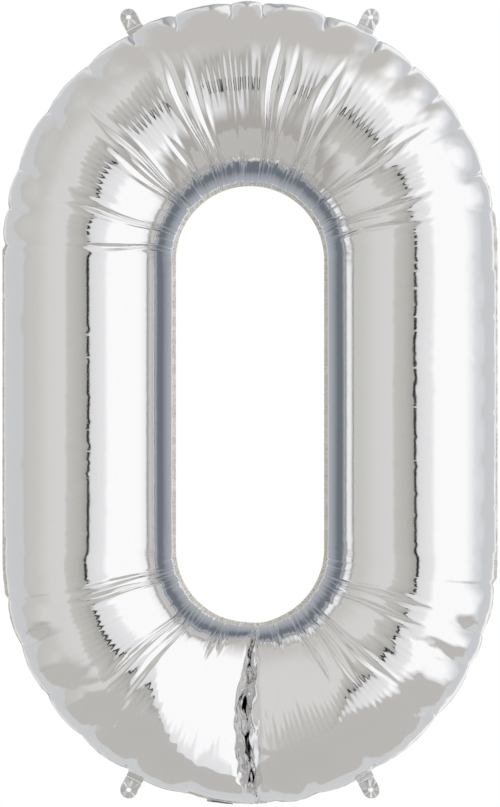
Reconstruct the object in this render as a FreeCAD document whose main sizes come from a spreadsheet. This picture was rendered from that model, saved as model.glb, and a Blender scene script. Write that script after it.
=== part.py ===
"""Foil number balloon, numeral 0: two sheets of mirror film welded round a closed tube, with four hanging
tabs, an inflation neck folded behind its lower edge and a self-sealing valve inside. Millimetres, +Z up,
X across the numeral and Y through it, with its front towards -Y and the origin at the centre of its box."""

import FreeCAD
import Part
import math
import os

# alias, value and what it sets. The film is 0.05 mm thick on the real thing, so its walls are stand-ins.
SIZES = [
    ("overall_height", 860.0, "tip to tip of the welded edge"),
    ("overall_width", 532.0, "leg to leg of the welded edge"),
    ("tube_depth", 180.0, "front to back of the inflated tube"),
    ("counter_width", 156.0, "clear width of the hole in the numeral"),
    ("counter_height", 464.0, "clear height of the hole"),
    ("counter_rise", 197.0, "lowest point of the hole above the balloon's lowest edge"),
    ("film_wall", 0.8, "wall of each inflated panel"),
    ("crest_lean", 5.0, "how far the tube's crest stands outside its middle, along the legs and below"),
    ("crown_lean", 18.0, "the same at the top, where the film round the hole is gathered most"),
    ("weld_thickness", 1.2, "both films together where they are welded flat"),
    ("outer_margin", 5.0, "welded edge outside the tube"),
    ("counter_margin", 4.0, "welded edge on the hole's side of the tube"),
    ("weld_grip", 4.0, "how far a weld reaches under the panels' feet"),
    ("gore_count", 12, "gores of film round each end of the tube"),
    ("scallop_count", 15, "scallops round each outer end"),
    ("scallop_depth", 3.0, "how far a pucker pulls the outer edge in"),
    ("gather_count", 9, "gathers round each end of the hole"),
    ("gather_depth", 1.0, "how far a gather pulls the hole's edge back"),
    ("cross_width", 8.0, "weld across the ring where the two lobes meet"),
    ("lobe_gap", 2.0, "space between the lobes, over the cross weld"),
    ("lobe_round", 40.0, "length over which a lobe's end closes"),
    ("tab_angle", 62.5, "place of the tabs round the outer ends, from the horizontal"),
    ("tab_stand", 1.5, "land of the outer weld that a tab is cut from"),
    ("tab_root", 18.6, "width of a tab at its crease"),
    ("tab_head", 9.2, "radius of a tab's round head"),
    ("tab_reach", 12.1, "crease to the middle of the punched hole"),
    ("punch_radius", 2.3, "radius of the punched hanging hole"),
    ("crease_gap", 0.3, "slack at a crease, so that the film can turn"),
    ("neck_angle", 7.0, "place of the neck round the lower end, left of the middle"),
    ("neck_width", 28.0, "inflation neck, side to side"),
    ("neck_length", 34.0, "inflation neck, crease to mouth"),
    ("neck_thickness", 2.0, "inflation neck, flat"),
    ("neck_inset", 1.5, "crease of the neck, inside the outer edge"),
    ("neck_fold", 100.0, "how far the neck is folded back from straight out"),
    ("mouth_width", 22.0, "slit that takes the nozzle"),
    ("mouth_height", 0.8, "the same slit, lying flat"),
    ("mouth_notch", 6.0, "radius of the finger notch that opens the mouth"),
    ("valve_width", 24.0, "self-sealing valve films"),
    ("valve_length", 105.0, "valve films, from the neck into the tube"),
    ("valve_slack", 0.2, "space beside the valve films in the outer weld"),
]

doc = FreeCAD.newDocument("foil_number_balloon")
sheet = doc.addObject("Spreadsheet::Sheet", "sizes")
for row, (alias, value, meaning) in enumerate(SIZES, start=1):
    sheet.set(f"A{row}", alias)
    sheet.set(f"B{row}", str(value))
    sheet.set(f"C{row}", meaning)
    sheet.setAlias(f"B{row}", alias)
doc.recompute()


def size(alias):
    return float(sheet.get(alias))


# The ring is two legs joined by round ends. Each end has one centre for its outer edge and one for the hole.
outer_radius = size("overall_width") / 2
hole_radius = size("counter_width") / 2
floor_level = -size("overall_height") / 2
hole_floor = floor_level + size("counter_rise")
OUTER_CENTRE = {"low": floor_level + outer_radius, "high": -floor_level - outer_radius}
HOLE_CENTRE = {
    "low": hole_floor + hole_radius,
    "high": hole_floor + size("counter_height") - hole_radius,
}
half_weld = size("weld_thickness") / 2
rim_radius = outer_radius - size("outer_margin")
throat_radius = hole_radius + size("counter_margin")


def polar(centre_z, radius, degrees):
    """A point at an angle round an end's centre, counted from +X towards +Z."""
    turn = math.radians(degrees)
    return radius * math.cos(turn), centre_z + radius * math.sin(turn)


# ---- the two inflated panels ----


def crossing(centre_z, radius, from_z, degrees):
    """Distance from a point on the Z axis, along an angle, to a circle whose centre is also on that axis."""
    turn = math.radians(degrees)
    shift = centre_z - from_z
    return shift * math.sin(turn) + math.sqrt(radius**2 - (shift * math.cos(turn)) ** 2)


def station(end, degrees, swells):
    """A place to cut the tube across: its middle, angle, half width, crest and shares of depth, outside and in."""
    pivot = (OUTER_CENTRE[end] + HOLE_CENTRE[end]) / 2
    far = crossing(OUTER_CENTRE[end], rim_radius, pivot, degrees)
    near = crossing(HOLE_CENTRE[end], throat_radius, pivot, degrees)
    x, z = polar(pivot, (far + near) / 2, degrees)
    lean = size("crest_lean")
    if end == "high":
        lean += (size("crown_lean") - lean) * math.sin(math.radians(degrees))
    return {"x": x, "z": z, "degrees": degrees, "half": (far - near) / 2, "lean": lean, "swells": swells}


def right_half():
    """Stations from the lobe's end, at the bottom, to the top of the ring, a gore of film apart."""
    per_degree = (rim_radius + throat_radius) / 2 * math.pi / 180
    lobe, wall = size("lobe_round"), size("film_wall")
    gore = 180 / size("gore_count")
    lobe_steps = 5
    start = -90 + size("lobe_gap") / 2 / per_degree
    stations = []
    for step in range(lobe_steps + 1):
        turn = math.pi / 2 * step / lobe_steps
        along = lobe * (1 - math.cos(turn))
        left_over = min((lobe - along) / (lobe - wall), 1)
        swells = (math.sin(turn), math.sqrt(1 - left_over**2))
        stations.append(station("low", start + along / per_degree, swells))
    opened = start + lobe / per_degree
    gores = max(round(-opened / gore), 1)
    for step in range(1, gores + 1):
        stations.append(station("low", opened * (1 - step / gores), (1, 1)))
    quarter = max(round(90 / gore), 1)
    for step in range(quarter + 1):
        stations.append(station("high", 90 * step / quarter, (1, 1)))
    return stations


def whole_ring():
    """Stations round the ring from lobe to lobe. The left half mirrors the right one."""
    right = right_half()
    left = [dict(one, x=-one["x"], degrees=180 - one["degrees"]) for one in right[-2::-1]]
    return right + left


def flank(crest, to_foot, rise):
    """A quarter of an ellipse, from a foot of the arch to its crest. Either axis may be the longer."""
    if to_foot.Length >= rise.Length:
        return Part.ArcOfEllipse(Part.Ellipse(crest + to_foot, crest + rise, crest), 0, math.pi / 2).toShape()
    return Part.ArcOfEllipse(Part.Ellipse(crest + rise, crest - to_foot, crest), -math.pi / 2, 0).toShape()


def film_section(one, side):
    """The film cut across at a station: an outer and an inner arch, joined where its feet stand."""
    turn = math.radians(one["degrees"])
    outward = FreeCAD.Vector(math.cos(turn), 0, math.sin(turn))
    middle = FreeCAD.Vector(one["x"], side * half_weld, one["z"])
    wall = size("film_wall")
    full = size("tube_depth") / 2 - half_weld
    outer, inner = one["half"], one["half"] - wall
    tall = max(full * one["swells"][0], wall)
    low = max((full - wall) * one["swells"][1], wall / 4)
    forward = FreeCAD.Vector(0, side, 0)
    lean = one["lean"]
    crest = middle + outward * lean
    far, near = [
        [flank(crest, outward * (way * half - lean), forward * rise) for half, rise in ((outer, tall), (inner, low))]
        for way in (1, -1)
    ]
    feet = [Part.makeLine(middle + outward * outer * way, middle + outward * inner * way) for way in (1, -1)]
    return Part.Wire(Part.__sortEdges__([far[0], near[0], feet[1], near[1], far[1], feet[0]]))


def panel(name, side):
    """A formed film, from one lobe round the ring to the other. Each gore runs straight between puckers."""
    film = doc.addObject("Part::Feature", name)
    sections = [film_section(one, side) for one in whole_ring()]
    film.Shape = Part.makeLoft(sections, True, True)
    return film


# ---- welds: flat strips of both films in the middle plane ----


def flat(point):
    """A point of the X-Z plane as a sketch takes it."""
    return FreeCAD.Vector(point[0], point[1], 0)


def loop(centres, radius, count=1, pull=0.0):
    """A closed outline of two legs and two round ends, each of count bows that are drawn in where they meet.
    The bow beside a leg leaves it without a step."""
    shapes = []
    for end, first in (("high", 0), ("low", 180)):
        for bow in range(count):
            sweep = 180 / count
            starts = first + sweep * bow
            drawn = [0 if edge in (0, count) else pull for edge in (bow, bow + 1)]
            crest = pull / 4 if 0 in drawn else 0
            corners = [
                polar(centres[end], radius - drawn[0], starts),
                polar(centres[end], radius - crest, starts + sweep / 2),
                polar(centres[end], radius - drawn[1], starts + sweep),
            ]
            shapes.append(Part.Arc(*[flat(corner) for corner in corners]))
        other = "low" if end == "high" else "high"
        side = -radius if end == "high" else radius
        shapes.append(Part.LineSegment(flat((side, centres[end])), flat((side, centres[other]))))
    return shapes


def polygon(corners):
    """Straight sides through the corners, closed."""
    ends = corners[1:] + corners[:1]
    return [Part.LineSegment(flat(a), flat(b)) for a, b in zip(corners, ends)]


def radial_box(end, degrees, inner, outer, width):
    """Corners of a rectangle that lies along a radius of an outer end."""
    turn = math.radians(degrees)
    along = (math.cos(turn), math.sin(turn))
    corners = []
    for reach, aside in ((inner, -1), (outer, -1), (outer, 1), (inner, 1)):
        x = reach * along[0] - aside * width / 2 * along[1]
        z = reach * along[1] + aside * width / 2 * along[0]
        corners.append((x, OUTER_CENTRE[end] + z))
    return corners


def sketch_on_middle(body, name, shapes):
    """A sketch on the body's X-Z plane, where the two films meet."""
    sketch = body.newObject("Sketcher::SketchObject", name)
    plane = [one for one in body.Origin.OriginFeatures if one.Role == "XZ_Plane"][0]
    sketch.AttachmentSupport = [(plane, "")]
    sketch.MapMode = "FlatFace"
    sketch.addGeometry(shapes, False)
    return sketch


def strip(body, name, shapes, thickness="sizes.weld_thickness"):
    """Both films welded flat, padded evenly to both sides of the middle plane."""
    pad = body.newObject("PartDesign::Pad", name)
    pad.Profile = sketch_on_middle(body, name + "_outline", shapes)
    pad.SideType = "Symmetric"
    pad.setExpression("Length", thickness)
    return pad


def cut_through(body, name, shapes):
    """A window through a strip, cut to both sides of the middle plane."""
    pocket = body.newObject("PartDesign::Pocket", name)
    pocket.Profile = sketch_on_middle(body, name + "_outline", shapes)
    pocket.SideType = "Symmetric"
    pocket.setExpression("Length", "sizes.weld_thickness * 3")
    return pocket


# places round the outer ends, counted from +X towards +Z
tab_places = {
    "top_left": ("high", 180 - size("tab_angle")),
    "top_right": ("high", size("tab_angle")),
    "bottom_left": ("low", 180 + size("tab_angle")),
    "bottom_right": ("low", -size("tab_angle")),
}
neck_place = -90 - size("neck_angle")
neck_crease = outer_radius - size("neck_inset")
neck_land = neck_crease - size("neck_thickness") / 2 - size("crease_gap")
tab_land = outer_radius + size("tab_stand")
tab_crease = tab_land + size("crease_gap") + half_weld
grip_radius = rim_radius - size("weld_grip")


def outer_seam():
    """The scalloped edge weld, with a land for each tab and a window that the valve passes through."""
    body = doc.addObject("PartDesign::Body", "outer_seam")
    edge = loop(OUTER_CENTRE, outer_radius, int(size("scallop_count")), size("scallop_depth"))
    strip(body, "edge_weld", edge + loop(OUTER_CENTRE, grip_radius))
    lands = []
    for end, degrees in tab_places.values():
        lands += polygon(radial_box(end, degrees, rim_radius, tab_land, size("tab_root")))
    strip(body, "tab_lands", lands)
    past = outer_radius + size("outer_margin")
    valve_gap = size("valve_width") + 2 * size("valve_slack")
    neck_gap = size("neck_width") + 2 * size("crease_gap")
    inside = grip_radius - size("weld_grip")
    cut_through(body, "valve_window", polygon(radial_box("low", neck_place, inside, past, valve_gap)))
    cut_through(body, "neck_recess", polygon(radial_box("low", neck_place, neck_land, past, neck_gap)))
    return body


def counter_seam():
    """The weld round the hole, gathered towards the numeral's open middle."""
    body = doc.addObject("PartDesign::Body", "counter_seam")
    gathers = loop(HOLE_CENTRE, hole_radius, int(size("gather_count")), -size("gather_depth"))
    strip(body, "counter_weld", loop(HOLE_CENTRE, throat_radius + size("weld_grip")) + gathers)
    return body


def cross_seam():
    """The weld across the ring, from the hole's weld to the edge weld, that the two lobes close on."""
    half = size("cross_width") / 2
    ends = {}
    for name, centre, radius in (
        ("edge", OUTER_CENTRE["low"], grip_radius),
        ("hole", HOLE_CENTRE["low"], throat_radius + size("weld_grip")),
    ):
        side_level = centre - math.sqrt(radius**2 - half**2)
        ends[name] = [(-half, side_level), (0, centre - radius), (half, side_level)]
    outline = [Part.Arc(*[flat(point) for point in points]) for points in ends.values()]
    for side in (0, 2):
        outline.append(Part.LineSegment(flat(ends["edge"][side]), flat(ends["hole"][side])))
    body = doc.addObject("PartDesign::Body", "cross_seam")
    strip(body, "cross_weld", outline)
    return body


# ---- pieces that fold at a crease: drawn with the crease on the origin and pointing along +Z ----


def seat(piece, end, degrees, reach, fold=0.0):
    """Puts a piece at its place round an outer end, folded towards the back by so many degrees."""
    x, z = polar(OUTER_CENTRE[end], reach, degrees)
    out = FreeCAD.Rotation(FreeCAD.Vector(0, 1, 0), 90 - degrees)
    folded = FreeCAD.Rotation(FreeCAD.Vector(1, 0, 0), -fold)
    piece.Placement = FreeCAD.Placement(FreeCAD.Vector(x, 0, z), out.multiply(folded))


def barrel(name, length, thickness):
    """The rounded fold of film at a crease, which turns on the spot."""
    crease = doc.addObject("Part::Cylinder", name)
    crease.setExpression("Radius", f"{thickness} / 2")
    crease.setExpression("Height", length)
    turned = FreeCAD.Rotation(FreeCAD.Vector(0, 1, 0), 90)
    crease.Placement = FreeCAD.Placement(FreeCAD.Vector(0, 0, 0), turned)
    crease.setExpression("Placement.Base.x", f"-{length} / 2")
    return crease


def leaf(name, shapes, thickness):
    """A flat leaf of film, as thick to the front of its crease as to the back."""
    outline = doc.addObject("Sketcher::SketchObject", name + "_outline")
    outline.Placement.Rotation = FreeCAD.Rotation(FreeCAD.Vector(1, 0, 0), 90)
    outline.addGeometry(shapes, False)
    extrusion = doc.addObject("Part::Extrusion", name)
    extrusion.Base = outline
    extrusion.DirMode = "Normal"
    extrusion.Solid = True
    extrusion.Symmetric = True
    extrusion.setExpression("LengthFwd", thickness)
    return extrusion


def hanging_tab(where):
    """A teardrop ear of both films, with a round head and a punched hole for a thread or ribbon."""
    name = "hanging_tab_" + where
    root, head, reach = size("tab_root") / 2, size("tab_head"), size("tab_reach")
    outline = [
        Part.Arc(flat((head, reach)), flat((0, reach + head)), flat((-head, reach))),
        Part.LineSegment(flat((-head, reach)), flat((-root, 0))),
        Part.LineSegment(flat((-root, 0)), flat((root, 0))),
        Part.LineSegment(flat((root, 0)), flat((head, reach))),
    ]
    ear = doc.addObject("Part::Fuse", name + "_ear")
    ear.Base = leaf(name + "_leaf", outline, "sizes.weld_thickness")
    ear.Tool = barrel(name + "_crease", "sizes.tab_root", "sizes.weld_thickness")
    punch = doc.addObject("Part::Cylinder", name + "_punch")
    punch.setExpression("Radius", "sizes.punch_radius")
    punch.setExpression("Height", "sizes.weld_thickness * 3")
    punch.Placement.Rotation = FreeCAD.Rotation(FreeCAD.Vector(1, 0, 0), 90)
    punch.setExpression("Placement.Base.y", "sizes.weld_thickness * 1.5")
    punch.setExpression("Placement.Base.z", "sizes.tab_reach")
    tab = doc.addObject("Part::Cut", name)
    tab.Base = ear
    tab.Tool = punch
    end, degrees = tab_places[where]
    seat(tab, end, degrees, tab_crease)
    return tab


def inflation_neck():
    """A flat sleeve of both films that guides the nozzle, with a notch in one film to open its mouth."""
    half, length = size("neck_width") / 2, size("neck_length")
    corners = [(-half, 0), (-half, length), (half, length), (half, 0)]
    sleeve = doc.addObject("Part::Fuse", "neck_sleeve")
    sleeve.Base = leaf("neck_leaf", polygon(corners), "sizes.neck_thickness")
    sleeve.Tool = barrel("neck_barrel", "sizes.neck_width", "sizes.neck_thickness")
    slit = doc.addObject("Part::Box", "neck_mouth")
    slit.setExpression("Length", "sizes.mouth_width")
    slit.setExpression("Width", "sizes.mouth_height")
    slit.setExpression("Height", "sizes.neck_length")
    slit.setExpression("Placement.Base.x", "-sizes.mouth_width / 2")
    slit.setExpression("Placement.Base.y", "-sizes.mouth_height / 2")
    slit.setExpression("Placement.Base.z", "sizes.neck_thickness")
    notch = doc.addObject("Part::Cylinder", "neck_notch")
    notch.setExpression("Radius", "sizes.mouth_notch")
    notch.setExpression("Height", "sizes.neck_thickness")
    notch.Placement.Rotation = FreeCAD.Rotation(FreeCAD.Vector(1, 0, 0), -90)
    notch.setExpression("Placement.Base.z", "sizes.neck_length")
    opening = doc.addObject("Part::Fuse", "neck_opening")
    opening.Base = slit
    opening.Tool = notch
    neck = doc.addObject("Part::Cut", "inflation_neck")
    neck.Base = sleeve
    neck.Tool = opening
    seat(neck, "low", neck_place, neck_crease, size("neck_fold"))
    return neck


# ---- the valve ----


def valve_film(name, side):
    """One of two soft films, welded along their edges, that the gas presses shut on each other."""
    film = doc.addObject("Part::Box", name)
    film.setExpression("Length", "sizes.valve_width")
    film.setExpression("Width", "sizes.weld_thickness / 2")
    film.setExpression("Height", "sizes.valve_length")
    start = neck_land - size("valve_length")
    x, z = polar(OUTER_CENTRE["low"], start, neck_place)
    out = FreeCAD.Rotation(FreeCAD.Vector(0, 1, 0), 90 - neck_place)
    corner = FreeCAD.Vector(-size("valve_width") / 2, 0 if side > 0 else -half_weld, 0)
    film.Placement = FreeCAD.Placement(FreeCAD.Vector(x, 0, z) + out.multVec(corner), out)
    return film


pieces = {
    "front_panel": panel("front_panel", -1),
    "back_panel": panel("back_panel", 1),
    "outer_seam": outer_seam(),
    "counter_seam": counter_seam(),
    "cross_seam": cross_seam(),
    "inflation_neck": inflation_neck(),
    "valve_film_front": valve_film("valve_film_front", -1),
    "valve_film_back": valve_film("valve_film_back", 1),
}
for where in tab_places:
    pieces["hanging_tab_" + where] = hanging_tab(where)
doc.recompute()

for thing in doc.Objects:
    if "Invalid" in thing.State or "Error" in thing.State:
        raise RuntimeError(f"{thing.Name} failed to build: {thing.State}")
for node, piece in pieces.items():
    piece.Label = node
    shape = piece.Shape
    if shape.isNull() or not shape.isValid() or len(shape.Solids) != 1:
        raise RuntimeError(f"{node} is not one sound solid")
os.makedirs("parts", exist_ok=True)
for node, piece in pieces.items():
    piece.Shape.exportStep(f"parts/{node}.step")
    box = piece.Shape.BoundBox
    print(f"{node}: {piece.Shape.Volume:.1f} mm3, {box.XLength:.1f} x {box.YLength:.1f} x {box.ZLength:.1f}")
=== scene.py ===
import math

import bpy
import numpy as np
from mathutils import Matrix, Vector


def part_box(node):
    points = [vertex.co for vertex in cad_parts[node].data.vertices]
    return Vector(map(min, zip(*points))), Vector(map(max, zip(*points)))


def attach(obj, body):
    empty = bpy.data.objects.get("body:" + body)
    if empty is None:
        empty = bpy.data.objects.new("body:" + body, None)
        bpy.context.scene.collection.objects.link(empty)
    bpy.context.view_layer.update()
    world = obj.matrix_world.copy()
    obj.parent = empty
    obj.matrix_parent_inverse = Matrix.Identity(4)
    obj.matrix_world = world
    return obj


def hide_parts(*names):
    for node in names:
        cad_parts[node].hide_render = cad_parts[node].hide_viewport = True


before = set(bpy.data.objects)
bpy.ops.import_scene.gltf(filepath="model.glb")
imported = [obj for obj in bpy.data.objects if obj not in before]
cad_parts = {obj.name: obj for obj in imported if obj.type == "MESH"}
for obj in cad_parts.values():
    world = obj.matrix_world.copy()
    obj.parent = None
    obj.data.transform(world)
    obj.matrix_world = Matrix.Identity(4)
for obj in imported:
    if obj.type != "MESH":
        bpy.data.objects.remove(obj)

# ---- The bench ----
# Blender's own start-up cube, lamp and camera are put away, so that only the
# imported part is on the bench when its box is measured.
for left_over in ("Cube", "Light", "Camera"):
    if left_over in bpy.data.objects:
        bpy.data.objects.remove(bpy.data.objects[left_over])
scene = bpy.context.scene
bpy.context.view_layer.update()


# ---- The silver tube ----
# Two sheets of metallised film, cut to the figure, welded to each other along
# the outer edge and round the hole, and blown up until the film pulls tight.
tube_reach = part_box("front_panel")[1][0]
tube_rise = -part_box("front_panel")[0][1]
hole_reach = 0.082
end_level = 0.164
hole_level = {"low": -0.155, "high": 0.153}
film_across = 0.2812
filled_across = 0.179
slack_across = 0.212
slack_out = 1.033
rows_across = 32
hole_lip = [-0.0028]
edge_lip = [0.0018, 0.0036]
lobe_length = 0.060
lobe_steps = 22
arc_step = 0.0036
leg_step = 0.006
scallop_pull = 0.003
top_notches = [
    9.7, 19.2, 31.4, 39.9, 48.9, 58.8, 72.3, 87.2,
    94.2, 107.6, 118.4, 131, 144.8, 160, 169.2, 177.9,
]
low_notches = [-170, -158, -145, -133, -120, -105, -86, -75, -60, -41, -27, -19, -7]
lip_round, lip_meets, taper_length, taper_depth = 0.015, 0.55, 0.120, 0.10
lobe_fold = ([0.0, 0.42, 0.775, 1.0], [0.125, 0.118, 0.034, 0.012])
lobe_slope = (0.16, 0.27)
lobe_flat = (0.06, 0.26)
slit_wander = ([0.0, 0.45, 0.8, 1.0], [0.0085, -0.003, 0.004, 0.0125])
wander_length = 0.085


def crossing(centre, radius, pivot, turn):
    """How far from the pivot a line at this turn meets a circle."""
    shift = centre - pivot
    return shift * math.sin(turn) + math.sqrt(radius**2 - (shift * math.cos(turn)) ** 2)


def stations():
    """Places round the ring, from one lobe's closed end to the other.

    Each is its end, turn, level, way in from the slit, and side."""
    middle = (tube_reach + hole_reach) / 2
    half = []
    for step in range(lobe_steps + 1):
        inward = lobe_length * (1 - math.cos(math.pi / 2 * step / lobe_steps))
        half.append(("low", -math.pi / 2 + inward / middle, 0.0, inward))
    begins = -math.pi / 2 + lobe_length / middle
    count = round(-begins * middle / arc_step)
    for step in range(1, count + 1):
        turn = begins * (1 - step / count)
        half.append(("low", turn, 0.0, (turn + math.pi / 2) * middle))
    base = (-end_level + hole_level["low"]) / 2
    crown = (end_level + hole_level["high"]) / 2
    count = round((crown - base) / leg_step)
    for step in range(1, count):
        half.append(("leg", 0.0, base + (crown - base) * step / count, 1.0))
    count = round(math.pi / 2 * middle / arc_step)
    for step in range(count + 1):
        half.append(("high", math.pi / 2 * step / count, 0.0, 1.0))
    return [one + (1,) for one in half] + [one + (-1,) for one in half[-2:0:-1]]


def scallop(end, degrees):
    """How far the edge weld is drawn in between the crests of its bows."""
    notches = {"high": top_notches, "low": low_notches, "leg": []}[end]
    before = [notch for notch in notches if notch <= degrees]
    after = [notch for notch in notches if notch > degrees]
    if not before or not after:
        return 0.0
    share = (degrees - before[-1]) / (after[0] - before[-1])
    return scallop_pull * (1 - 4 * share * (1 - share))


def lean(end, turn):
    """How far the crest of the tube stands outside its middle."""
    return {"leg": -0.001, "low": 0.002, "high": -0.001 + 0.008 * math.sin(turn)}[end]


def closing(inward):
    """How the lobes draw in towards the slit and round over where they press together."""
    shut = lip_meets + (1 - lip_meets) * math.sqrt(max(0.0, 1 - max(0.0, 1 - inward / lip_round) ** 2))
    taper = min(1.0, inward / taper_length)
    return shut * (1 - taper_depth * (1 - taper) ** 1.5)


def section(place, filled):
    """One cross-section's points from the hole to the edge: slack as cut, or filled with gas."""
    end, turn, level, inward, side = place
    if end == "leg":
        near, far, pivot = hole_reach, tube_reach, level
    else:
        centre = end_level if end == "high" else -end_level
        pivot = (centre + hole_level[end]) / 2
        near = crossing(hole_level[end], hole_reach, pivot, turn)
        far = crossing(centre, tube_reach, pivot, turn)
    if filled:
        degrees = math.degrees(turn)
        if side < 0:
            degrees = (180 if end == "high" else -180) - degrees
        far -= scallop(end, degrees)
        half = (far - near) / 2
        rise = tube_rise - 0.0005
    else:
        share = (far - near) / filled_across
        near *= 1.0 if end == "leg" else slack_out
        far = near + slack_across * share
        half = (far - near) / 2
        rise = math.sqrt(max(2 * (film_across * share / math.pi) ** 2 - half**2, 0.0004))
    crest = lean(end, turn) if filled else 0.0
    closed = closing(inward) if end == "low" else 1.0
    spread = max(0.0, 1 - inward / wander_length) ** 2 if end == "low" else 0.0
    points = []
    for lip in hole_lip:
        points.append((near + lip, 0.0, 0.0))
    for row in range(rows_across + 1):
        bend = math.pi * row / rows_across
        swing = math.cos(bend)
        reach = (near + far) / 2 + crest - (half + crest if swing > 0 else half - crest) * swing
        points.append((reach, rise * math.sin(bend) * closed, row / rows_across))
    for lip in edge_lip:
        points.append((far + lip, 0.0, 1.0))
    placed = []
    for reach, out, across in points:
        x = side * math.cos(turn) * reach + spread * np.interp(across, *slit_wander)
        placed.append((x, out, pivot + math.sin(turn) * reach))
    return placed


def cut_and_weld():
    """Both films as one closed skin with its welded lips.

    Gives its points slack and filled, faces, grip of the welds, and each layer's grid."""
    places = stations()
    last = len(hole_lip) + rows_across
    slack, full, grip, faces = [], [], [], []
    layers = {-1: [], 1: []}
    for number, place in enumerate(places):
        loose, tight = section(place, False), section(place, True)
        numbers = {-1: [], 1: []}
        for row, (a, b) in enumerate(zip(loose, tight)):
            welded = row <= len(hole_lip) or row >= last
            hold = 0.97 if row <= len(hole_lip) else (0.85 if place[0] == "leg" else 0.7)
            pressed = number == 0 and not welded
            for layer in (-1, 1):
                if layer == 1 and welded:
                    numbers[1].append(numbers[-1][row])
                    continue
                numbers[layer].append(len(slack))
                slack.append((a[0], layer * a[1] * (not welded), a[2]))
                full.append((b[0], layer * b[1] * (not welded), b[2]))
                grip.append(hold if welded else 0.5 * pressed)
        for layer in (-1, 1):
            layers[layer].append(numbers[layer])
    for layer in (-1, 1):
        grid = layers[layer]
        for one in range(len(places)):
            other = (one + 1) % len(places)
            for row in range(len(grid[0]) - 1):
                lip = row < len(hole_lip) or row >= last
                if lip and layer == 1:
                    continue
                corners = [grid[one][row + 1], grid[other][row + 1], grid[other][row], grid[one][row]]
                faces.append(corners if layer < 0 else corners[::-1])
    return places, np.array(slack), np.array(full), faces, grip, layers


def fill_with_gas(slack, full, faces, grip):
    """Where the film comes to rest when gas pushes it out and the welds draw in."""
    frames, drawn_by, unevenness = 30, 12, 0.0006
    uneven = (np.random.RandomState(3).rand(len(slack), 3) - 0.5) * unevenness
    cut = bpy.data.meshes.new("slack_film")
    cut.from_pydata((slack + uneven).tolist(), [], faces)
    cut.update()
    film = bpy.data.objects.new("slack_film", cut)
    scene.collection.objects.link(film)
    film.shape_key_add(name="slack")
    drawn = film.shape_key_add(name="filled")
    drawn.data.foreach_set("co", full.ravel())
    for value, at in ((0.0, 1), (1.0, drawn_by)):
        drawn.value = value
        drawn.keyframe_insert("value", frame=at)
    held = film.vertex_groups.new(name="welds")
    for number, hold in enumerate(grip):
        if hold:
            held.add([number], hold, "REPLACE")
    scene.gravity = (0, 0, 0)
    gas = film.modifiers.new("gas", "CLOTH")
    gas.point_cache.frame_start, gas.point_cache.frame_end = 1, frames
    gas.collision_settings.use_collision = False
    gas.collision_settings.use_self_collision = False
    foil = gas.settings
    foil.quality, foil.mass, foil.air_damping = 5, 0.1, 4.0
    foil.tension_stiffness, foil.compression_stiffness = 80.0, 60.0
    foil.shear_stiffness, foil.bending_stiffness = 20.0, 0.035
    foil.tension_damping = foil.compression_damping = foil.shear_damping = 10
    foil.bending_damping = 0.5
    foil.vertex_group_mass, foil.pin_stiffness = "welds", 3.0
    foil.use_pressure, foil.uniform_pressure_force = True, 23.0
    for at in range(1, frames + 1):
        scene.frame_set(at)
    rested = film.evaluated_get(bpy.context.evaluated_depsgraph_get()).to_mesh()
    where = np.empty(len(rested.vertices) * 3)
    rested.vertices.foreach_get("co", where)
    bpy.data.objects.remove(film)
    scene.frame_set(1)
    return where.reshape(-1, 3)


places, slack, full, faces, grip, layers = cut_and_weld()
rested = fill_with_gas(slack, full, faces, grip)


def silver(name, roughness, tint, wrinkle, speck=None, metal=1.0):
    """Metallised film: a mirror with a faint haze and fine handling wrinkles.

    Where it is welded it has specks of bare plastic."""
    material = bpy.data.materials.new(name)
    material.use_nodes = True
    nodes, links = material.node_tree.nodes, material.node_tree.links
    shader = nodes["Principled BSDF"]
    shader.inputs["Metallic"].default_value = metal
    where = nodes.new("ShaderNodeTexCoord")
    haze = nodes.new("ShaderNodeTexNoise")
    haze.inputs["Scale"].default_value = 38.0
    haze.inputs["Detail"].default_value = 3.0
    links.new(where.outputs["Object"], haze.inputs["Vector"])
    gloss = nodes.new("ShaderNodeMapRange")
    gloss.inputs["To Min"].default_value = roughness[0]
    gloss.inputs["To Max"].default_value = roughness[1]
    links.new(haze.outputs["Fac"], gloss.inputs["Value"])
    links.new(gloss.outputs["Result"], shader.inputs["Roughness"])
    grain = nodes.new("ShaderNodeTexNoise")
    grain.inputs["Scale"].default_value = 900.0 if speck is None else 420.0
    grain.inputs["Detail"].default_value = 2.0
    links.new(where.outputs["Object"], grain.inputs["Vector"])
    colour = nodes.new("ShaderNodeValToRGB")
    low, high = colour.color_ramp.elements
    if speck is None:
        low.position, high.position = 0.3, 0.7
        low.color, high.color = (*[c * 0.965 for c in tint], 1), (*tint, 1)
    else:
        low.position, high.position = 0.42, 0.56
        low.color, high.color = (*speck, 1), (*tint, 1)
    links.new(grain.outputs["Fac"], colour.inputs["Fac"])
    links.new(colour.outputs["Color"], shader.inputs["Base Color"])
    creep = nodes.new("ShaderNodeTexNoise")
    creep.inputs["Scale"].default_value = 160.0
    creep.inputs["Detail"].default_value = 4.0
    creep.inputs["Roughness"].default_value = 0.6
    links.new(where.outputs["Object"], creep.inputs["Vector"])
    bump = nodes.new("ShaderNodeBump")
    bump.inputs["Strength"].default_value = wrinkle
    bump.inputs["Distance"].default_value = 0.001
    links.new(creep.outputs["Fac"], bump.inputs["Height"])
    links.new(bump.outputs["Normal"], shader.inputs["Normal"])
    return material


mirror_foil = silver("mirror_foil", (0.05, 0.11), (0.88, 0.88, 0.89), 0.035)


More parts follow.
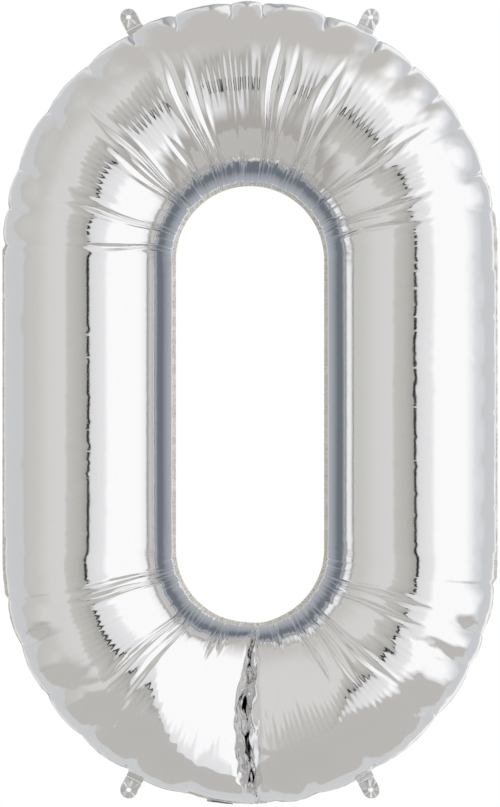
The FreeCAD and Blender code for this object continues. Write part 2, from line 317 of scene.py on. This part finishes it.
def between(line, at):
    """A smooth curve through evenly spaced points, read at places between them."""
    first = np.clip(np.floor(at).astype(int), 0, len(line) - 2)
    t = (at - first).reshape(-1, *[1] * (line.ndim - 1))
    around = [line[np.clip(first + k, 0, len(line) - 1)] for k in (-1, 0, 1, 2)]
    at_start = (first == 0).reshape(t.shape)
    at_finish = (first == len(line) - 2).reshape(t.shape)
    around[0] = np.where(at_start, 2 * around[1] - around[2], around[0])
    around[3] = np.where(at_finish, 2 * around[2] - around[1], around[3])
    p0, p1, p2, p3 = around
    curl = 2 * p0 - 5 * p1 + 4 * p2 - p3 + t * (3 * (p1 - p2) + p3 - p0)
    return p1 + t / 2 * (p2 - p0 + t * curl)


def grid_piece(name, grid, material, flip=False):
    """A piece from rows of points, as one smooth sheet."""
    along, across = grid.shape[:2]
    number = np.arange(along * across).reshape(along, across)
    corners = [number[:-1, 1:], number[1:, 1:], number[1:, :-1], number[:-1, :-1]]
    if flip:
        corners = corners[::-1]
    quads = np.stack(corners, axis=-1).reshape(-1, 4)
    mesh = bpy.data.meshes.new(name)
    mesh.from_pydata(grid.reshape(-1, 3).tolist(), [], quads.tolist())
    mesh.polygons.foreach_set("use_smooth", [True] * len(quads))
    mesh.materials.append(material)
    piece = bpy.data.objects.new(name, mesh)
    scene.collection.objects.link(piece)
    return piece


film_rows = slice(len(hole_lip), len(hole_lip) + rows_across + 1)
middle = (tube_reach + hole_reach) / 2
quarter = middle * math.pi / 2
leg_run = end_level + (hole_level["high"] - hole_level["low"]) / 2
whole_run = 4 * quarter + 2 * leg_run


def run_at(end, degrees):
    """The way along the middle of the tube, from the slit up the right leg and round,
    to an angle at one of the ends."""
    if end == "high":
        return quarter + leg_run + math.radians(degrees) * middle
    if degrees > -90:
        return math.radians(degrees + 90) * middle
    return whole_run - math.radians(-90 - degrees) * middle


def run_of(place):
    """The same for a station."""
    end, turn, level, inward, side = place
    if end == "low":
        way = (turn + math.pi / 2) * middle
    elif end == "leg":
        way = quarter + level + (end_level - hole_level["low"]) / 2
    else:
        way = quarter + leg_run + turn * middle
    return way if side > 0 else whole_run - way


station_run = np.array([run_of(place) for place in places] + [whole_run])
fine_along = []
for number in range(len(places)):
    pieces_here = 3 if station_run[number + 1] - station_run[number] < 0.005 else 4
    fine_along += [number + part / pieces_here for part in range(pieces_here)]
fine_along = np.array(fine_along + [len(places)], float)
fine_across = np.linspace(0, rows_across, rows_across * 2 + 1)
run = np.interp(fine_along, np.arange(len(station_run)), station_run)[:, None]
share = (fine_across / rows_across)[None, :]
from_slit = np.minimum(run, whole_run - run)
in_top = np.clip(np.minimum(run - quarter - leg_run, 3 * quarter + leg_run - run) / 0.03 + 0.5, 0, 1)
in_low = np.clip((quarter - from_slit) / 0.03 + 0.5, 0, 1)


def averaged(rows, reach):
    """Rows of points averaged with their neighbours along the tube, without crossing the slit."""
    window = np.hanning(2 * reach + 3)[1:-1]
    window /= window.sum()
    padded = np.concatenate([np.repeat(rows[:1], reach, 0), rows, np.repeat(rows[-1:], reach, 0)])
    return sum(weight * padded[k : k + len(rows)] for k, weight in enumerate(window))


def tent(x):
    return np.clip(1 - np.abs(x), 0, None)


def bell(x):
    return np.where(np.abs(x) < 1, 0.5 + 0.5 * np.cos(np.pi * np.clip(x, -1, 1)), 0.0)


kept_share = 0.10
more_smooth_at_slit, more_fine_at_slit = 0.20, 0.70


def settled(layer):
    """One film's points with its welds, from the slit right round and back to it.

    The tube is pulled tight by formula. Only a small share of the crumpling that
    the gas gave it is kept, and more of it right at the slit."""
    numbers = np.array(layers[layer])
    numbers = np.vstack([numbers, numbers[:1]])
    tight = full[numbers]
    moved = rested[numbers] - tight
    soft = averaged(moved, 9)
    way_in = np.minimum(station_run, whole_run - station_run)[:, None]
    in_slit = np.interp(way_in, [0.0, 0.006, 0.016], [1.0, 0.7, 0.0])[..., None]
    keep_smooth = kept_share + more_smooth_at_slit * in_slit
    keep_fine = kept_share + more_fine_at_slit * in_slit
    shape = tight + soft * keep_smooth + (moved - soft) * keep_fine
    columns = (np.arange(numbers.shape[1]) - len(hole_lip)) / rows_across
    fold_from = np.interp(columns, *lobe_fold)[None, :]
    slope = np.where(station_run < whole_run / 2, *lobe_slope)[:, None]
    shape[..., 1] *= 1 - slope * np.clip(fold_from - way_in, 0, None) / tube_rise
    flat = np.where(station_run < whole_run / 2, *lobe_flat)[:, None]
    flat = flat * np.clip(1 - way_in / 0.10, 0, 1)
    shape[..., 1] *= 1 + flat * bell((columns[None, :] - 0.80) / 0.24)
    return shape


def combed(draw):
    """Fine pleats side by side over the crest of the tube, which take up the film that a curve has to spare."""
    height = np.zeros((len(run), share.shape[1]))
    at = 0.02
    while at < whole_run - 0.02:
        gap = draw.uniform(0.0046, 0.0064)
        at += gap
        curved = float(np.interp(at, run[:, 0], np.maximum(in_top, in_low * 0.5)[:, 0]))
        tall = draw.uniform(0.45, 1.0) * (0.00044 * curved + 0.00002)
        centre, reach = draw.uniform(0.50, 0.54), draw.uniform(0.11, 0.18)
        height += tall * tent((run - at) / (gap * 0.55)) * bell((share - centre) / reach)
    return height


def gathered(draw):
    """Short gathers of the film along the weld round the hole."""
    height = np.zeros((len(run), share.shape[1]))
    at = 0.015
    while at < whole_run - 0.015:
        gap = draw.uniform(0.0045, 0.0095)
        at += gap
        curved = float(np.interp(at, run[:, 0], np.maximum(in_top, in_low)[:, 0]))
        tall = draw.uniform(-1.0, 1.0) * 0.0010 * curved
        reach = draw.uniform(0.10, 0.30)
        sway = draw.uniform(-0.02, 0.02) * share
        height += tall * tent((run - at - sway) / (gap * 0.6)) * bell((share - 0.07) / reach)
    return height


long_creases = [
    ("high", 177.0, 0.56, 0.8, 0.006), ("high", 165.5, 0.66, 1.0, 0.0), ("high", 142.0, 0.70, 1.2, -0.012),
    ("high", 146.5, 0.60, 0.6, -0.008), ("high", 113.5, 0.70, 1.2, 0.004), ("high", 108.0, 0.66, 0.7, 0.004),
    ("high", 82.0, 0.71, 1.1, 0.0), ("high", 77.0, 0.70, 0.7, -0.002), ("high", 63.0, 0.68, 1.1, 0.002),
    ("high", 58.0, 0.62, 0.7, 0.004), ("high", 35.5, 0.68, 1.1, -0.002), ("high", 16.0, 0.66, 0.9, 0.006),
    ("high", 9.0, 0.64, 0.6, 0.004), ("high", 126.0, 0.42, 0.5, 0.0), ("high", 95.0, 0.40, 0.4, 0.0),
    ("low", -164.0, 0.60, 0.9, -0.008), ("low", -170.0, 0.55, 0.6, 0.0), ("low", -140.0, 0.60, 1.1, 0.0),
    ("low", -134.0, 0.58, 0.8, 0.004), ("low", -113.0, 0.32, 0.8, 0.0), ("low", -109.0, 0.28, 0.6, 0.0),
    ("low", -17.0, 0.60, 1.2, 0.006), ("low", -23.0, 0.60, 0.8, 0.006), ("low", -40.0, 0.58, 1.2, -0.004),
    ("low", -47.0, 0.52, 0.8, -0.006), ("low", -55.0, 0.45, 0.9, -0.006), ("low", -72.0, 0.26, 0.7, 0.0),
]


def creased(draw, jitter):
    """Long pinched creases from the weld round the hole over the crest, pointed at their outer end."""
    height = np.zeros((len(run), share.shape[1]))
    for end, degrees, reach, strong, slant in long_creases:
        at = run_at(end, degrees + draw.uniform(-jitter, jitter))
        ends = reach + draw.uniform(-0.02, 0.02)
        along = np.clip(share / ends, 0, 1)
        pointed = tent(np.maximum(0, (share / ends - 0.72) / 0.28))
        wide = 0.0015 + 0.0070 * along**1.4 * pointed
        deep = strong * 0.0023 * np.clip(along / 0.12, 0, 1)
        deep = deep * np.clip((1 - along) / 0.35, 0, 1) ** 0.8
        bow = slant * (share / ends) + 0.0018 * np.sin(share * 17 + degrees)
        off = (run - at - bow) / wide
        height += deep * (-tent(off) + 0.55 * tent(off - 1.1) + 0.40 * tent(off + 1.1))
    return height


leg_notches = [0.0, 0.048, 0.101, 0.150, 0.196, 0.252, 0.301]


def pillowed(draw):
    """Pillows of film behind a crisp ridge, between puckers of the edge weld that pull it in."""
    height = np.zeros((len(run), share.shape[1]))
    rows_of_notches = [
        ([run_at("high", notch) for notch in top_notches], 0.200, 0.0055),
        ([run_at("low", notch) for notch in low_notches], 0.245, 0.0050),
    ]
    for begin in (quarter, 3 * quarter + leg_run):
        rows_of_notches.append(([begin + notch for notch in leg_notches], 0.130, 0.0022))
    for notches, deepest, stands in rows_of_notches:
        notches = sorted(notches)
        for a, b in zip(notches[:-1], notches[1:]):
            if b - a > 0.12:
                continue
            across = np.clip((run - a) / (b - a), 0, 1)
            bow = 0.4 + 0.6 * np.clip(4 * across * (1 - across), 0, 1) ** 0.6
            ridge = 1 - deepest * draw.uniform(0.85, 1.1) * (bow - 0.1)
            inside = np.clip(1 - (ridge - share) / 0.12, 0, 1)
            outside = np.clip((1 - share) / (1 - ridge), 0, 1) ** 0.8
            swell = stands * (0.2 + 0.8 * bow) * np.minimum(inside, outside)
            height += swell * (across > 0) * (across < 1)
        for at in notches:
            long = draw.uniform(0.35, 0.6) * deepest
            wide = 0.0014 + 0.0035 * np.clip((1 - share) / long, 0, 1)
            pull = 0.45 * stands * tent((run - at) / wide)
            height -= pull * np.clip((share - (1 - long)) / long, 0, 1) ** 0.5
    return height


slit_tucks = [
    (0.33, 0.020, 0.0012), (0.45, 0.034, 0.0022),
    (0.62, 0.028, 0.0020), (0.72, 0.024, 0.0018),
]


def tucked():
    """Lens-shaped tucks on both sides of the slit, where the lobes' ends are drawn together."""
    height = np.zeros((len(run), share.shape[1]))
    for at, long, deep in slit_tucks:
        tip = np.clip(1 - from_slit / long, 0, 1)
        height -= deep * tip * tent((share - at) / (0.004 + 0.018 * tip))
        height += 0.5 * deep * tip * tent((share - at - 0.022) / 0.016)
    return height


def nicked(draw):
    """A few thin nicks across the legs where the film once folded."""
    height = np.zeros((len(run), share.shape[1]))
    for base in (quarter, 3 * quarter + leg_run):
        for _ in range(16):
            at = base + draw.uniform(0.0, leg_run)
            centre = draw.uniform(0.46, 0.54)
            reach = draw.uniform(0.03, 0.09)
            height -= 0.0003 * tent((run - at) / 0.0022) * bell((share - centre) / reach)
    return height


for layer, name, node, seed, jitter in (
    (-1, "front_film", "front_panel", 7, 0.0),
    (1, "back_film", "back_panel", 8, 3.0),
):
    grid = between(settled(layer)[:, film_rows], fine_along)
    grid = between(grid.transpose(1, 0, 2), fine_across).transpose(1, 0, 2)
    ahead = np.gradient(grid, axis=0)
    outward = np.cross(np.gradient(grid, axis=1), ahead) * -layer
    outward /= np.maximum(np.linalg.norm(outward, axis=2, keepdims=True), 1e-9)
    draw = np.random.RandomState(seed)
    height = combed(draw) + gathered(draw) + creased(draw, jitter) + pillowed(draw) + nicked(draw)
    off_welds = np.clip(share / 0.03, 0, 1) * np.clip((1 - share) / 0.03, 0, 1)
    height *= off_welds * np.clip((from_slit - 0.012) / 0.02, 0, 1)
    height += tucked() * np.clip(from_slit / 0.009, 0, 1)
    grid += outward * height[..., None]
    film = grid_piece(name, grid, mirror_foil, flip=layer > 0)
    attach(film, "balloon")
    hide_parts(node)


# ---- The welds ----
# Where hot jaws have joined the two films: a thin crimped lip outside the tube,
# another round the hole, and one across the ring where the two lobes close.
weld_foil = silver(
    "weld_foil", (0.30, 0.48), (0.95, 0.94, 0.91), 0.10,
    speck=(0.82, 0.78, 0.70), metal=0.45,
)
rng = np.random.RandomState(11)


def crimped(strip, depth):
    """Fine crimps across a lip, strongest at its free edge."""
    steps = len(strip)
    crests = np.arange(0, steps + 3, 3)
    heights = rng.uniform(-1, 1, (steps + 3) // 3 + 1)[: len(crests)]
    wave = np.interp(np.arange(steps), crests, heights)
    wave[-1] = wave[0]
    for column, share in enumerate(depth):
        strip[:, column, 1] += wave * share
    return strip


edge_rows = slice(len(hole_lip) + rows_across, None)
edge = between(settled(-1)[:, edge_rows], fine_along)
edge = crimped(edge, [0.0, 0.0003, 0.0008])
edge_weld = grid_piece("edge_weld", edge, weld_foil)
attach(edge_weld, "balloon")
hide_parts("outer_seam")

hole = between(settled(-1)[:, : len(hole_lip) + 1], fine_along)
hole = crimped(hole, [0.0006, 0.0])
hole_weld = grid_piece("hole_weld", hole, weld_foil)
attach(hole_weld, "balloon")
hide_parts("counter_seam")

slit_line = settled(-1)[0, film_rows]
slit_strip = np.stack([slit_line + [-0.0012, 0, 0], slit_line, slit_line + [0.0012, 0, 0]], axis=1)
slit_weld = grid_piece("slit_weld", slit_strip, weld_foil)
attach(slit_weld, "balloon")
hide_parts("cross_seam")


# ---- The four hanging ears ----
# Teardrop ears of both films left on the edge weld, crinkled by handling, each
# with a punched hole for a thread. Each sits flat at a crease line along its root.
ear_foil = silver("ear_foil", (0.10, 0.22), (0.86, 0.86, 0.87), 0.12)
ear_root, ear_head, ear_reach, ear_punch = 0.0093, 0.0092, 0.0121, 0.0023
ear_crease = 0.2684


def seated(end, degrees, reach, fold=0.0):
    """Where a crease lies round an outer end, with +Z pointing out of the balloon."""
    turn = math.radians(degrees)
    level = end_level if end == "high" else -end_level
    place = Matrix.Translation((reach * math.cos(turn), 0, level + reach * math.sin(turn)))
    place = place @ Matrix.Rotation(math.radians(90 - degrees), 4, "Y")
    return place @ Matrix.Rotation(math.radians(-fold), 4, "X")


def ear_edge(turn):
    """How far the ear's outline is from its punched hole, in this direction."""
    x, z = math.cos(turn), math.sin(turn)
    if z >= 0:
        return ear_head
    return min(ear_reach / -z, ear_root / abs(x) if abs(x) > 1e-6 else 1.0)


def ear_grid(seed):
    """Rings of points from the punched hole to the outline, crinkled more away from the crease."""
    draw = np.random.RandomState(seed)
    folds = [
        (draw.uniform(0, 2 * math.pi), draw.uniform(0.6, 1.0), draw.randint(3, 9))
        for _ in range(5)
    ]
    turns = np.linspace(0, 2 * math.pi, 73)
    rings = []
    for share in np.linspace(0, 1, 9):
        ring = []
        for turn in turns:
            reach = ear_punch + (ear_edge(turn) - ear_punch) * share
            x, z = reach * math.cos(turn), ear_reach + reach * math.sin(turn)
            crinkle = sum(
                high * (1 - 2 * abs(((turn * count + start) / math.pi) % 2 - 1))
                for start, high, count in folds
            )
            loose = min(1.0, max(0.0, z / 0.006)) * (0.3 + 0.7 * share)
            ring.append((x, 0.00022 * crinkle * loose, z))
        rings.append(ring)
    return np.array(rings).transpose(1, 0, 2)


ear_places = [
    ("top_left", "high", 117.5), ("top_right", "high", 62.5),
    ("bottom_left", "low", -117.5), ("bottom_right", "low", -62.5),
]
root_rows = (-0.0075, -0.004, -0.0004)
for number, (where, end, degrees) in enumerate(ear_places):
    ear = grid_piece("ear_" + where, ear_grid(20 + number), ear_foil)
    ear.data.transform(seated(end, degrees, ear_crease))
    wall = ear.modifiers.new("both_films", "SOLIDIFY")
    wall.thickness, wall.offset = 0.0003, 0.0
    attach(ear, "tab_" + where)
    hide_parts("hanging_tab_" + where)
    columns = np.linspace(-ear_root, ear_root, 7)
    stub = np.array([[(x, 0.0, z) for z in root_rows] for x in columns])
    root = grid_piece("ear_root_" + where, stub, ear_foil)
    root.data.transform(seated(end, degrees, ear_crease))
    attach(root, "balloon")


# ---- The filling neck ----
# A flat sleeve of both films, welded down its sides and open at the mouth, that
# takes the nozzle. It lies folded behind the edge weld once the figure is full.
neck_turn = math.radians(-97)
neck_half, neck_length, neck_seat = 0.014, 0.034, 0.2645


def neck_side(layer):
    """One film of the sleeve, bowed a little away from the other, with the notch in the back one."""
    rows = []
    draw = np.random.RandomState(40 + layer)
    crumple = draw.uniform(-1, 1, (9, 8))
    for step in range(33):
        along = step / 32
        row = []
        for column in range(29):
            x = (column / 28 * 2 - 1) * neck_half
            reach = neck_length * along
            if layer > 0:
                dip = math.sqrt(max(0.0, 0.006**2 - x**2))
                reach = (neck_length - dip) * along
            open_ = max(0.0, 1 - (x / (neck_half - 0.002)) ** 2)
            bow = 0.0002 + (0.0003 + 0.0010 * along) * open_
            u, v = along * 7.99, (column / 28) * 6.99
            i, j = int(u), int(v)
            noise = (
                crumple[i, j] * (1 - u + i) * (1 - v + j)
                + crumple[i + 1, j] * (u - i) * (1 - v + j)
                + crumple[i, j + 1] * (1 - u + i) * (v - j)
                + crumple[i + 1, j + 1] * (u - i) * (v - j)
            )
            row.append((x, layer * bow + 0.0005 * noise * min(1.0, along * 4), reach))
        rows.append(row)
    return np.array(rows)


neck = grid_piece("filling_neck", neck_side(-1), ear_foil, flip=True)
neck_back = grid_piece("filling_neck_back", neck_side(1), ear_foil)
for sleeve in (neck, neck_back):
    sleeve.data.transform(seated("low", math.degrees(neck_turn), neck_seat, 100))
    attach(sleeve, "neck")
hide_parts("inflation_neck")


# ---- The valve ----
# Two soft clear leaves inside the tube, welded along their sides, that the gas
# presses shut on each other behind the neck.
valve_half, valve_top, valve_end = 0.012, 0.158, 0.263
clear_film = bpy.data.materials.new("clear_film")
clear_film.use_nodes = True
nodes, links = clear_film.node_tree.nodes, clear_film.node_tree.links
shader = nodes["Principled BSDF"]
cloud = nodes.new("ShaderNodeTexNoise")
cloud.inputs["Scale"].default_value = 120.0
milk = nodes.new("ShaderNodeValToRGB")
milk.color_ramp.elements[0].color = (0.62, 0.64, 0.66, 1)
milk.color_ramp.elements[1].color = (0.80, 0.82, 0.84, 1)
links.new(cloud.outputs["Fac"], milk.inputs["Fac"])
links.new(milk.outputs["Color"], shader.inputs["Base Color"])
cloud_gloss = nodes.new("ShaderNodeMapRange")
cloud_gloss.inputs["To Min"].default_value = 0.25
cloud_gloss.inputs["To Max"].default_value = 0.45
links.new(cloud.outputs["Fac"], cloud_gloss.inputs["Value"])
links.new(cloud_gloss.outputs["Result"], shader.inputs["Roughness"])
for layer, where in ((-1, "front"), (1, "back")):
    leaf = []
    for step in range(22):
        reach = valve_top + (valve_end - valve_top) * step / 21
        sway = 0.0004 * math.sin(step * 0.9) * (1 - step / 21)
        row = []
        for x in np.linspace(-valve_half, valve_half, 9):
            apart = 0.0001 + 0.0002 * math.cos(x / valve_half * math.pi / 2)
            row.append((x, layer * apart + sway, reach))
        leaf.append(row)
    valve = grid_piece("valve_leaf_" + where, np.array(leaf), clear_film, flip=layer < 0)
    valve.data.transform(seated("low", math.degrees(neck_turn), 0.0))
    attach(valve, "balloon")
    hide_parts("valve_film_" + where)


# ---- The studio ----
# A pale floor below the floating figure, with painted light falloff that the film reflects:
# darker warm grey in front, lighter cool grey behind. A room graded by bearing and height that
# the film reflects while the camera sees it white. A grey card in the open middle glows only in
# reflections, as a painted reflection of dark blue-grey in the film round the hole.
floor_level, floor_reach = -0.80, 1.0
bpy.ops.mesh.primitive_circle_add(
    vertices=128, radius=floor_reach, fill_type="NGON", location=(0, 0, floor_level)
)
floor = bpy.context.object
floor.name = "floor"
white_floor = bpy.data.materials.new("white_floor")
white_floor.use_nodes = True
nodes, links = white_floor.node_tree.nodes, white_floor.node_tree.links
paint = nodes["Principled BSDF"]
across_floor = nodes.new("ShaderNodeTexCoord")
depth = nodes.new("ShaderNodeSeparateXYZ")
links.new(across_floor.outputs["Object"], depth.inputs["Vector"])
falloff_share = nodes.new("ShaderNodeMapRange")
falloff_share.inputs["From Min"].default_value, falloff_share.inputs["From Max"].default_value = 0.07, 0.11
links.new(depth.outputs["Y"], falloff_share.inputs["Value"])
# Painted light falloff: the floor's colour goes from darker warm grey in front to lighter cool grey behind.
painted_falloff = nodes.new("ShaderNodeValToRGB")
painted_falloff.color_ramp.elements[0].color = (0.74, 0.72, 0.69, 1)
painted_falloff.color_ramp.elements[1].color = (0.93, 0.95, 0.98, 1)
links.new(falloff_share.outputs["Result"], painted_falloff.inputs["Fac"])
links.new(painted_falloff.outputs["Color"], paint.inputs["Base Color"])
paint.inputs["Roughness"].default_value = 0.8
glow = nodes.new("ShaderNodeEmission")
glow.inputs["Color"].default_value = (1, 1, 1, 1)
glow.inputs["Strength"].default_value = 1.10
path = nodes.new("ShaderNodeLightPath")
shares = []
for ray, part in (
    ("Is Camera Ray", 0.80),
    ("Is Glossy Ray", 0.08),
    ("Is Transmission Ray", 0.80),
):
    share_of = nodes.new("ShaderNodeMath")
    share_of.operation = "MULTIPLY"
    share_of.inputs[1].default_value = part
    links.new(path.outputs[ray], share_of.inputs[0])
    shares.append(share_of.outputs[0])
for number in (1, 2):
    both = nodes.new("ShaderNodeMath")
    both.operation = "MAXIMUM"
    links.new(shares[0], both.inputs[0])
    links.new(shares[number], both.inputs[1])
    shares[0] = both.outputs[0]
cover = nodes.new("ShaderNodeMixShader")
links.new(shares[0], cover.inputs["Fac"])
links.new(paint.outputs["BSDF"], cover.inputs[1])
links.new(glow.outputs["Emission"], cover.inputs[2])
links.new(cover.outputs["Shader"], nodes["Material Output"].inputs["Surface"])
floor.data.materials.append(white_floor)

# Painted reflection: a glowing card in the hole that only glossy rays see. It is darker blue-grey near its middle
# line and lighter towards its rim, and it shows only as a reflection in the film round the hole.
card_room = 0.0015
card_reach = hole_reach - 0.003 - card_room
outline = []
for end, begins in (("high", 0.0), ("low", math.pi)):
    for turn in np.linspace(begins, begins + math.pi, 33):
        x, z = card_reach * math.cos(turn), hole_level[end] + card_reach * math.sin(turn)
        outline.append((x, 0.0, z))
cut_card = bpy.data.meshes.new("grey_card")
cut_card.from_pydata(outline, [], [list(range(len(outline)))])
card = bpy.data.objects.new("grey_card", cut_card)
scene.collection.objects.link(card)
painted_reflection_glow = bpy.data.materials.new("painted_reflection_glow")
painted_reflection_glow.use_nodes = True
nodes, links = painted_reflection_glow.node_tree.nodes, painted_reflection_glow.node_tree.links
nodes.remove(nodes["Principled BSDF"])
spot = nodes.new("ShaderNodeTexCoord")
spot_parts = nodes.new("ShaderNodeSeparateXYZ")
links.new(spot.outputs["Object"], spot_parts.inputs["Vector"])
level_there = nodes.new("ShaderNodeMath")
level_there.operation = "ABSOLUTE"
links.new(spot_parts.outputs["Z"], level_there.inputs[0])
past = nodes.new("ShaderNodeMath")
past.operation = "SUBTRACT"
past.inputs[1].default_value = hole_level["high"]
links.new(level_there.outputs[0], past.inputs[0])
beyond = nodes.new("ShaderNodeMath")
beyond.operation = "MAXIMUM"
links.new(past.outputs[0], beyond.inputs[0])
beyond.inputs[1].default_value = 0.0
flat_spot = nodes.new("ShaderNodeCombineXYZ")
links.new(spot_parts.outputs["X"], flat_spot.inputs["X"])
links.new(beyond.outputs[0], flat_spot.inputs["Z"])
length = nodes.new("ShaderNodeVectorMath")
length.operation = "LENGTH"
links.new(flat_spot.outputs["Vector"], length.inputs[0])
from_axis = nodes.new("ShaderNodeMapRange")
from_axis.inputs["From Max"].default_value = card_reach
links.new(length.outputs["Value"], from_axis.inputs["Value"])
reflection_ramp = nodes.new("ShaderNodeValToRGB")
reflection_ramp.color_ramp.elements[0].position = 0.35
reflection_ramp.color_ramp.elements[0].color = (0.17, 0.19, 0.22, 1)
reflection_ramp.color_ramp.elements[1].color = (0.46, 0.48, 0.52, 1)
links.new(from_axis.outputs["Result"], reflection_ramp.inputs["Fac"])
dim = nodes.new("ShaderNodeEmission")
links.new(reflection_ramp.outputs["Color"], dim.inputs["Color"])
clear = nodes.new("ShaderNodeBsdfTransparent")
way = nodes.new("ShaderNodeLightPath")
seen = nodes.new("ShaderNodeMixShader")
links.new(way.outputs["Is Glossy Ray"], seen.inputs["Fac"])
links.new(clear.outputs["BSDF"], seen.inputs[1])
links.new(dim.outputs["Emission"], seen.inputs[2])
links.new(seen.outputs["Shader"], nodes["Material Output"].inputs["Surface"])
card.data.materials.append(painted_reflection_glow)

room = bpy.data.worlds.new("studio")
scene.world = room
room.use_nodes = True
nodes, links = room.node_tree.nodes, room.node_tree.links
sky = nodes["Background"]


def worked(operation, *values):
    """A maths node on sockets or numbers, and its result."""
    node = nodes.new("ShaderNodeMath")
    node.operation = operation
    for place, value in enumerate(values):
        if isinstance(value, (int, float)):
            node.inputs[place].default_value = value
        else:
            links.new(value, node.inputs[place])
    return node.outputs[0]


def graded(value, low, high, stops):
    """A colour ramp over a range of a socket's values."""
    scale = nodes.new("ShaderNodeMapRange")
    scale.inputs["From Min"].default_value = low
    scale.inputs["From Max"].default_value = high
    links.new(value, scale.inputs["Value"])
    ramp = nodes.new("ShaderNodeValToRGB")
    links.new(scale.outputs["Result"], ramp.inputs["Fac"])
    ramp.color_ramp.elements.remove(ramp.color_ramp.elements[1])
    for number, (at, colour) in enumerate(stops):
        place = (at - low) / (high - low)
        elements = ramp.color_ramp.elements
        stop = elements[0] if number == 0 else elements.new(place)
        stop.position = place
        stop.color = (*colour, 1)
    return ramp.outputs["Color"]


def mixed(share, one, other):
    """One colour, turning into the other as share goes from 0 to 1."""
    node = nodes.new("ShaderNodeMix")
    node.data_type = "RGBA"
    links.new(share, node.inputs["Factor"])
    for place, colour in ((6, one), (7, other)):
        if isinstance(colour, tuple):
            node.inputs[place].default_value = (*colour, 1)
        else:
            links.new(colour, node.inputs[place])
    return node.outputs[2]


aim = nodes.new("ShaderNodeTexCoord")
parts = nodes.new("ShaderNodeSeparateXYZ")
links.new(aim.outputs["Generated"], parts.inputs["Vector"])
bearing = worked("ARCTAN2", parts.outputs["X"], worked("MULTIPLY", parts.outputs["Y"], -1.0))
rise_there = parts.outputs["Z"]
degree = math.pi / 180
wall_stops = [
    (-180, (0.66, 0.68, 0.7)), (-122, (0.65, 0.66, 0.67)), (-98, (0.66, 0.665, 0.67)),
    (-96, (0.6, 0.59, 0.565)), (-72, (0.64, 0.635, 0.605)), (-52, (0.73, 0.72, 0.7)),
    (-29, (0.75, 0.74, 0.72)), (-26, (0.61, 0.6, 0.565)), (-9, (0.53, 0.52, 0.485)),
    (-1, (0.44, 0.43, 0.4)), (5.5, (0.8, 0.8, 0.8)), (24, (0.9, 0.9, 0.905)),
    (30, (1.1, 1.1, 1.1)), (76, (1.1, 1.1, 1.1)), (88, (0.95, 0.955, 0.965)),
    (96, (0.8, 0.81, 0.83)), (112, (0.7, 0.71, 0.735)), (128, (0.64, 0.65, 0.68)),
    (158, (0.68, 0.69, 0.71)), (180, (0.66, 0.68, 0.7)),
]
walls = graded(
    bearing, -math.pi, math.pi,
    [(degrees * degree, colour) for degrees, colour in wall_stops],
)
ends_of_room = graded(rise_there, -1.0, 1.0, [
    (-1.0, (0.46, 0.44, 0.41)), (-0.6, (0.46, 0.44, 0.415)), (-0.3, (0.50, 0.48, 0.455)), (0.0, (0.60, 0.59, 0.56)),
    (0.35, (0.72, 0.71, 0.685)), (0.6, (0.66, 0.645, 0.615)), (0.9, (0.60, 0.58, 0.55)), (1.0, (0.60, 0.58, 0.55)),
])
to_ends = graded(rise_there, -1.0, 1.0, [
    (-1.0, (1, 1, 1)), (-0.62, (1, 1, 1)), (-0.42, (0, 0, 0)),
    (0.58, (0, 0, 0)), (0.86, (1, 1, 1)), (1.0, (1, 1, 1)),
])
behind = graded(parts.outputs["Y"], -1.0, 1.0, [
    (-1.0, (0, 0, 0)), (0.27, (0, 0, 0)), (0.38, (1, 1, 1)), (1.0, (1, 1, 1)),
])
walls = mixed(to_ends, walls, ends_of_room)
back_wall_stops = [
    (-180, (0.52, 0.53, 0.54)), (-173, (0.34, 0.35, 0.37)), (-169, (0.7, 0.7, 0.7)),
    (-158, (0.8, 0.8, 0.8)), (-148, (0.655, 0.663, 0.675)), (144, (0.655, 0.663, 0.675)),
    (154, (0.97, 0.97, 0.97)), (166, (0.98, 0.98, 0.98)), (171, (0.6, 0.6, 0.59)),
    (180, (0.52, 0.53, 0.54)),
]
back_walls = graded(
    bearing, -math.pi, math.pi,
    [(degrees * degree, colour) for degrees, colour in back_wall_stops],
)
walls = mixed(behind, walls, back_walls)
off_gap = worked("ABSOLUTE", worked("SUBTRACT", bearing, 2.2 * degree))
gap_side = worked("LESS_THAN", off_gap, 1.9 * degree)
off_gap_level = worked("ABSOLUTE", worked("ADD", rise_there, 0.02))
gap_tall = worked("LESS_THAN", off_gap_level, 0.125)
walls = mixed(worked("MULTIPLY", gap_side, gap_tall), walls, (0.01, 0.01, 0.01))
look = nodes.new("ShaderNodeLightPath")
links.new(mixed(look.outputs["Is Camera Ray"], walls, (1.0, 1.0, 1.0)), sky.inputs["Color"])

camera = bpy.data.cameras.new("camera")
camera.lens, camera.sensor_width = 100, 36
seat = bpy.data.objects.new("camera", camera)
view_height = 0.8625
seat.location = (0, -view_height / camera.sensor_width * camera.lens, 0)
seat.rotation_euler = (math.pi / 2, 0, 0)
scene.collection.objects.link(seat)
scene.camera = seat

scene.view_settings.view_transform = "Standard"
